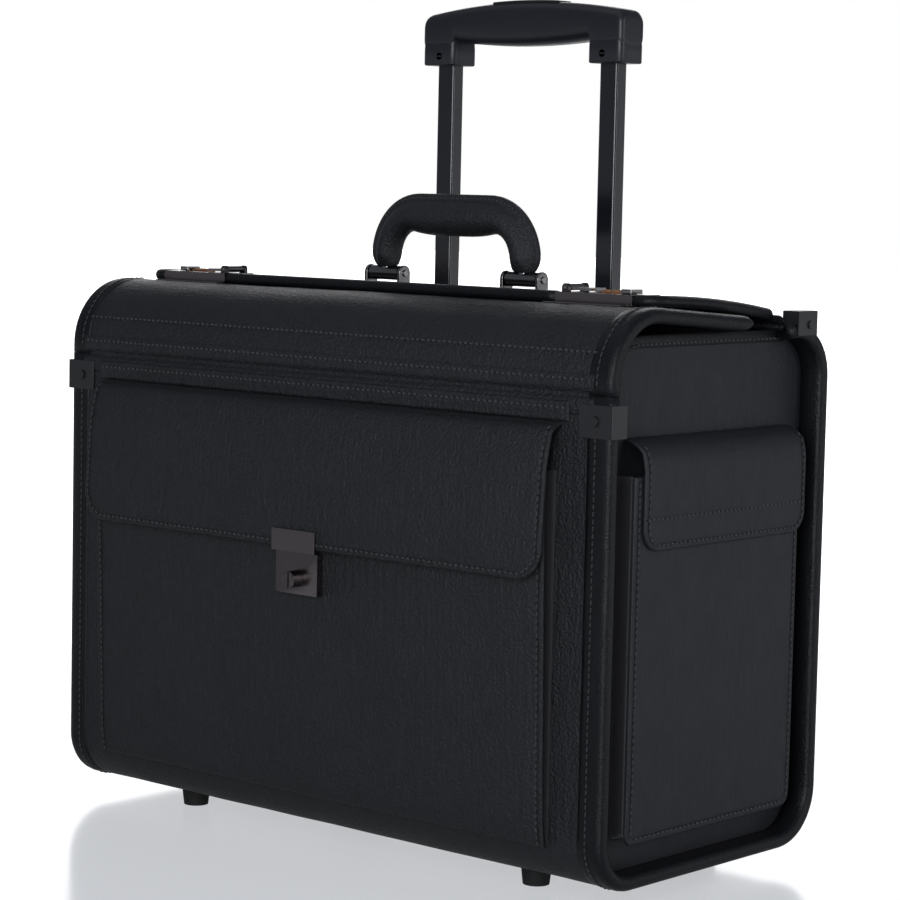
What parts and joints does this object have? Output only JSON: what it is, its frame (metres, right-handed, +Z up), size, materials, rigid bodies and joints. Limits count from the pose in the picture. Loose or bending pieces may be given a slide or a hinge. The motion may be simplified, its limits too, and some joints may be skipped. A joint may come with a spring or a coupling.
{
  "type": "pilot rolling flight case",
  "caption": "Black leather-covered rolling flight case with front and rear top lids, combination locks, flap pockets, padded carry handle and telescopic trolley grip.",
  "frame": {"origin": "floor level, at the middle of the object's width and depth at rest", "axes": "+Z up along the trolley tubes, +X to the right seen from the front, front pocket towards -Y"},
  "size_m": [0.4854, 0.256, 0.5635],
  "materials": {
    "front_leather": "grained black leather, satin",
    "side_leather": "smooth black leather, satin",
    "handle_leather": "soft padded black leather",
    "binding": "satin black leather binding",
    "gusset_fabric": "matt black woven",
    "lining": "dark grey woven lining",
    "gunmetal": "polished gunmetal plating",
    "bright_metal": "polished nickel plating",
    "black_metal": "black satin coating",
    "dial_brass": "worn copper-coloured brass",
    "steel": "plain steel",
    "tube_metal": "plain anodised",
    "black_tube": "black satin anodised",
    "moulded_plastic": "fine-textured black",
    "button_plastic": "black satin",
    "rubber": "black rubber"
  },
  "bodies": {
    "case": {"wrap_shell": "front_leather", "left_end_panel": "side_leather", "right_end_panel": "side_leather", "left_rim_binding": "binding", "right_rim_binding": "binding", "front_welt_strip": "front_leather", "front_pocket_panel": "front_leather", "front_pocket_gussets": "gusset_fabric", "front_lock_plate": "gunmetal", "left_side_pocket": "side_leather", "right_side_pocket": "side_leather", "side_pocket_gussets": "gusset_fabric", "front_corner_clips": "black_metal", "rear_corner_clips": "black_metal", "clip_rivets": "black_metal", "main_lining": "lining", "padded_divider": "lining", "trolley_cover_panel": "lining", "outer_tubes": "tube_metal", "trolley_bezels": "moulded_plastic", "trolley_base_bracket": "tube_metal", "wheel_housings": "moulded_plastic", "wheel_axles": "steel", "front_feet": "rubber"},
    "front_lid": {"front_lid_panel": "front_leather", "front_lid_bindings": "binding", "lock_strikers": "bright_metal"},
    "rear_lid": {"rear_lid_panel": "front_leather", "rear_lid_frame": "binding", "handle_brackets": "bright_metal", "lock_bases": "gunmetal", "dial_axles": "steel", "handle_pins": "steel"},
    "carry_handle": {"handle_grip": "handle_leather", "handle_end_loops": "bright_metal"},
    "front_flap": {"front_flap": "front_leather", "front_flap_catch": "gunmetal"},
    "front_lock_knob": {"front_lock_knob": "gunmetal"},
    "left_side_flap": {"left_side_flap": "side_leather"},
    "right_side_flap": {"right_side_flap": "side_leather"},
    "middle_stage": {"middle_tubes": "tube_metal"},
    "upper_stage": {"inner_tubes": "black_tube", "trolley_grip": "moulded_plastic", "grip_screws": "steel"},
    "release_button": {"release_button": "button_plastic"},
    "left_wheel": {"left_wheel": "rubber"},
    "right_wheel": {"right_wheel": "rubber"},
    "left_dial_outer": {"left_dial_outer": "dial_brass"},
    "left_dial_middle": {"left_dial_middle": "dial_brass"},
    "left_dial_inner": {"left_dial_inner": "dial_brass"},
    "left_lock_slider": {"left_lock_slider": "bright_metal"},
    "left_hasp": {"left_hasp": "bright_metal"},
    "right_dial_outer": {"right_dial_outer": "dial_brass"},
    "right_dial_middle": {"right_dial_middle": "dial_brass"},
    "right_dial_inner": {"right_dial_inner": "dial_brass"},
    "right_lock_slider": {"right_lock_slider": "bright_metal"},
    "right_hasp": {"right_hasp": "bright_metal"}
  },
  "joints": [
    {"name": "front_lid_hinge", "type": "hinge", "parent": "case", "child": "front_lid", "pos_m": [0, -0.103, 0.314], "axis": [1, 0, 0], "range_deg": [0, 100]},
    {"name": "rear_lid_hinge", "type": "hinge", "parent": "case", "child": "rear_lid", "pos_m": [0, 0.084, 0.356], "axis": [-1, 0, 0], "range_deg": [0, 50]},
    {"name": "handle_swing", "type": "hinge", "parent": "rear_lid", "child": "carry_handle", "pos_m": [0, 0.027, 0.37484], "axis": [-1, 0, 0], "range_deg": [-72, 0]},
    {"name": "front_flap_hinge", "type": "hinge", "parent": "case", "child": "front_flap", "pos_m": [0, -0.1048, 0.2962], "axis": [-1, 0, 0], "range_deg": [0, 80]},
    {"name": "front_lock_push", "type": "slide", "parent": "case", "child": "front_lock_knob", "axis": [0, 1, 0], "range_m": [0, 0.0022], "stiffness_N_per_m": 400},
    {"name": "right_side_flap_hinge", "type": "hinge", "parent": "case", "child": "right_side_flap", "pos_m": [0.2252, -0.103, 0.286], "axis": [0, -1, 0], "range_deg": [0, 105]},
    {"name": "left_side_flap_hinge", "type": "hinge", "parent": "case", "child": "left_side_flap", "pos_m": [-0.2252, -0.103, 0.286], "axis": [0, 1, 0], "range_deg": [0, 105]},
    {"name": "middle_stage_slide", "type": "slide", "parent": "case", "child": "middle_stage", "axis": [0, 0, 1], "range_m": [0, 0.265]},
    {"name": "upper_stage_slide", "type": "slide", "parent": "middle_stage", "child": "upper_stage", "axis": [0, 0, 1], "range_m": [-0.15, 0.115]},
    {"name": "release_button_push", "type": "slide", "parent": "upper_stage", "child": "release_button", "axis": [0, 0, -1], "range_m": [0, 0.003], "stiffness_N_per_m": 400},
    {"name": "right_wheel_spin", "type": "hinge", "parent": "case", "child": "right_wheel", "pos_m": [0.15, 0.103, 0.025], "axis": [1, 0, 0], "continuous": true},
    {"name": "right_dial_inner_spin", "type": "hinge", "parent": "rear_lid", "child": "right_dial_inner", "pos_m": [0.177, -0.0315, 0.3693], "axis": [1, 0, 0], "continuous": true},
    {"name": "right_dial_middle_spin", "type": "hinge", "parent": "rear_lid", "child": "right_dial_middle", "pos_m": [0.1835, -0.0315, 0.3693], "axis": [1, 0, 0], "continuous": true},
    {"name": "right_dial_outer_spin", "type": "hinge", "parent": "rear_lid", "child": "right_dial_outer", "pos_m": [0.19, -0.0315, 0.3693], "axis": [1, 0, 0], "continuous": true},
    {"name": "right_lock_slide", "type": "slide", "parent": "rear_lid", "child": "right_lock_slider", "axis": [1, 0, 0], "range_m": [0, 0.004], "stiffness_N_per_m": 300},
    {"name": "right_hasp_hinge", "type": "hinge", "parent": "rear_lid", "child": "right_hasp", "pos_m": [0.1525, -0.0315, 0.3744], "axis": [0, -1, 0], "range_deg": [0, 95]},
    {"name": "left_wheel_spin", "type": "hinge", "parent": "case", "child": "left_wheel", "pos_m": [-0.15, 0.103, 0.025], "axis": [1, 0, 0], "continuous": true},
    {"name": "left_dial_inner_spin", "type": "hinge", "parent": "rear_lid", "child": "left_dial_inner", "pos_m": [-0.177, -0.0315, 0.3693], "axis": [1, 0, 0], "continuous": true},
    {"name": "left_dial_middle_spin", "type": "hinge", "parent": "rear_lid", "child": "left_dial_middle", "pos_m": [-0.1835, -0.0315, 0.3693], "axis": [1, 0, 0], "continuous": true},
    {"name": "left_dial_outer_spin", "type": "hinge", "parent": "rear_lid", "child": "left_dial_outer", "pos_m": [-0.19, -0.0315, 0.3693], "axis": [1, 0, 0], "continuous": true},
    {"name": "left_lock_slide", "type": "slide", "parent": "rear_lid", "child": "left_lock_slider", "axis": [-1, 0, 0], "range_m": [0, 0.004], "stiffness_N_per_m": 300},
    {"name": "left_hasp_hinge", "type": "hinge", "parent": "rear_lid", "child": "left_hasp", "pos_m": [-0.1525, -0.0315, 0.3744], "axis": [0, 1, 0], "range_deg": [0, 95]}
  ]
}
